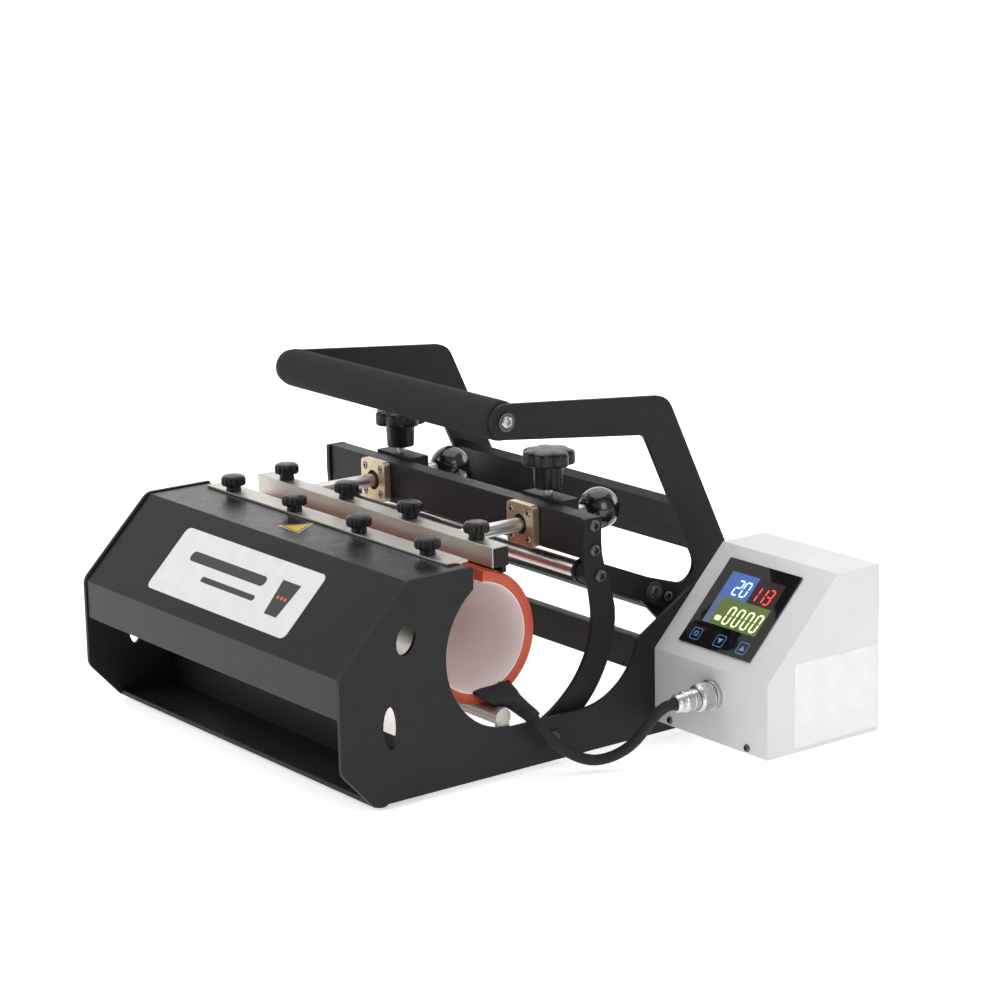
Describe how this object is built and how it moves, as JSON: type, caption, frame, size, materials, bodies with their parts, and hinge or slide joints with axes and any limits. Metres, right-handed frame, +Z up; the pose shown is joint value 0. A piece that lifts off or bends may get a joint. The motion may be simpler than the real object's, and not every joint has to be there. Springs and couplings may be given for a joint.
{
  "type": "mug heat press",
  "caption": "Lever-operated heat press for tumblers and mugs: side plates, cylindrical heater wrap, toggle handle, sliding clamp bar and side control box with sloping display.",
  "frame": {"origin": "middle of the footprint of the whole machine, on the table its feet stand on", "axes": "+X along the tumbler towards the control box, +Y from the front casing to the rear, +Z up"},
  "size_m": [0.4514, 0.37, 0.25],
  "materials": {
    "powder_black": "black powder coat, fine orange peel",
    "stainless": "brushed",
    "polished_rod": "polished",
    "brass": "pale machined brass",
    "black_plastic": "moulded, matte",
    "gloss_black": "glossy",
    "black_rubber": "matte",
    "foam_grip": "foam sleeve",
    "silicone": "silicone heater, matte",
    "powder_grey": "light grey powder coat",
    "display": "black glass touch panel",
    "circuit": "glass-fibre board",
    "relay": "moulded",
    "connector": "satin chrome"
  },
  "bodies": {
    "base": {"arm_pivot_bolt_left": "stainless", "arm_pivot_bolt_right": "stainless", "cable_boot": "black_rubber", "control_box_chassis": "powder_grey", "control_box_cover": "powder_grey", "display_panel": "display", "foot_1": "black_rubber", "foot_2": "black_rubber", "foot_3": "black_rubber", "foot_4": "black_rubber", "front_casing": "powder_black", "front_clamp_strip": "stainless", "handle_pivot_shaft": "stainless", "heater_cable": "black_rubber", "heater_socket": "connector", "heater_wrap": "silicone", "lower_cross_bar": "powder_black", "mains_inlet": "black_plastic", "plug_body": "connector", "power_board": "circuit", "rear_cross_bar": "powder_black", "side_plate_left": "powder_black", "side_plate_right": "powder_black", "solid_state_relay": "relay", "tray": "powder_black", "wrap_support_tube": "stainless"},
    "handle": {"handle_arm_left": "powder_black", "handle_arm_right": "powder_black", "handle_grip": "foam_grip", "handle_cross_bar": "powder_black", "crank_pin_left": "stainless", "crank_pin_right": "stainless"},
    "arms": {"swing_arm_left": "powder_black", "swing_arm_right": "powder_black", "beam": "powder_black", "rod_bushing_left": "brass", "rod_bushing_right": "brass", "rod_clamp_left": "powder_black", "rod_clamp_right": "powder_black"},
    "carriage": {"guide_rod_left": "polished_rod", "guide_rod_right": "polished_rod", "rear_clamp_bar": "powder_black", "rear_clamp_angle": "stainless", "ball_knob_left": "gloss_black", "ball_knob_right": "gloss_black"},
    "links": {"link_left": "powder_black", "link_right": "powder_black", "cross_shaft": "polished_rod"},
    "star_knob_left_body": {"star_knob_left": "black_plastic"},
    "star_knob_right_body": {"star_knob_right": "black_plastic"},
    "power_rocker_body": {"power_rocker": "black_plastic"},
    "coupling_ring_body": {"coupling_ring": "connector"},
    "front_knob_1_body": {"front_knob_1": "black_plastic"},
    "front_knob_2_body": {"front_knob_2": "black_plastic"},
    "front_knob_3_body": {"front_knob_3": "black_plastic"},
    "front_knob_4_body": {"front_knob_4": "black_plastic"},
    "rear_knob_1_body": {"rear_knob_1": "black_plastic"},
    "rear_knob_2_body": {"rear_knob_2": "black_plastic"},
    "rear_knob_3_body": {"rear_knob_3": "black_plastic"},
    "rear_knob_4_body": {"rear_knob_4": "black_plastic"}
  },
  "joints": [
    {"name": "handle_swing", "type": "hinge", "parent": "base", "child": "handle", "pos_m": [-0.05625, 0.13001, 0.076], "axis": [-1, 0, 0], "range_deg": [0, 40]},
    {"name": "arm_swing", "type": "hinge", "parent": "base", "child": "arms", "pos_m": [-0.05625, -0.01199, 0.0208], "axis": [-1, 0, 0], "range_deg": [0, 8.4]},
    {"name": "link_swing", "type": "hinge", "parent": "arms", "child": "links", "pos_m": [-0.05625, 0.03751, 0.1238], "axis": [1, 0, 0], "range_deg": [0, 29.2]},
    {"name": "clamp_slide", "type": "slide", "parent": "arms", "child": "carriage", "axis": [0, 1, 0], "range_m": [0, 0.02]},
    {"name": "rocker_tilt", "type": "hinge", "parent": "base", "child": "power_rocker_body", "pos_m": [0.15705, 0.18221, 0.0557], "axis": [-1, 0, 0], "range_deg": [0, 16]},
    {"name": "coupling_ring_spin", "type": "hinge", "parent": "base", "child": "coupling_ring_body", "pos_m": [0.16965, 0.07001, 0.047], "axis": [0, 1, 0], "continuous": true},
    {"name": "star_knob_left_spin", "type": "hinge", "parent": "arms", "child": "star_knob_left_body", "pos_m": [-0.14575, 0.04671, 0.18], "axis": [0, 0, 1], "continuous": true},
    {"name": "star_knob_right_spin", "type": "hinge", "parent": "arms", "child": "star_knob_right_body", "pos_m": [0.03325, 0.04671, 0.18], "axis": [0, 0, 1], "continuous": true},
    {"name": "front_knob_1_spin", "type": "hinge", "parent": "base", "child": "front_knob_1_body", "pos_m": [-0.1773, -0.08099, 0.16], "axis": [0, 0, 1], "continuous": true},
    {"name": "front_knob_2_spin", "type": "hinge", "parent": "base", "child": "front_knob_2_body", "pos_m": [-0.0966, -0.08099, 0.16], "axis": [0, 0, 1], "continuous": true},
    {"name": "front_knob_3_spin", "type": "hinge", "parent": "base", "child": "front_knob_3_body", "pos_m": [-0.0159, -0.08099, 0.16], "axis": [0, 0, 1], "continuous": true},
    {"name": "front_knob_4_spin", "type": "hinge", "parent": "base", "child": "front_knob_4_body", "pos_m": [0.0648, -0.08099, 0.16], "axis": [0, 0, 1], "continuous": true},
    {"name": "rear_knob_1_spin", "type": "hinge", "parent": "carriage", "child": "rear_knob_1_body", "pos_m": [-0.17325, -0.03719, 0.16], "axis": [0, 0, 1], "continuous": true},
    {"name": "rear_knob_2_spin", "type": "hinge", "parent": "carriage", "child": "rear_knob_2_body", "pos_m": [-0.09525, -0.03719, 0.16], "axis": [0, 0, 1], "continuous": true},
    {"name": "rear_knob_3_spin", "type": "hinge", "parent": "carriage", "child": "rear_knob_3_body", "pos_m": [-0.01725, -0.03719, 0.16], "axis": [0, 0, 1], "continuous": true},
    {"name": "rear_knob_4_spin", "type": "hinge", "parent": "carriage", "child": "rear_knob_4_body", "pos_m": [0.06075, -0.03719, 0.16], "axis": [0, 0, 1], "continuous": true}
  ],
  "couplings": [
    {"joint": "arm_swing", "follows": "handle_swing", "ratio": 0.2048},
    {"joint": "link_swing", "follows": "handle_swing", "ratio": 0.7198}
  ]
}
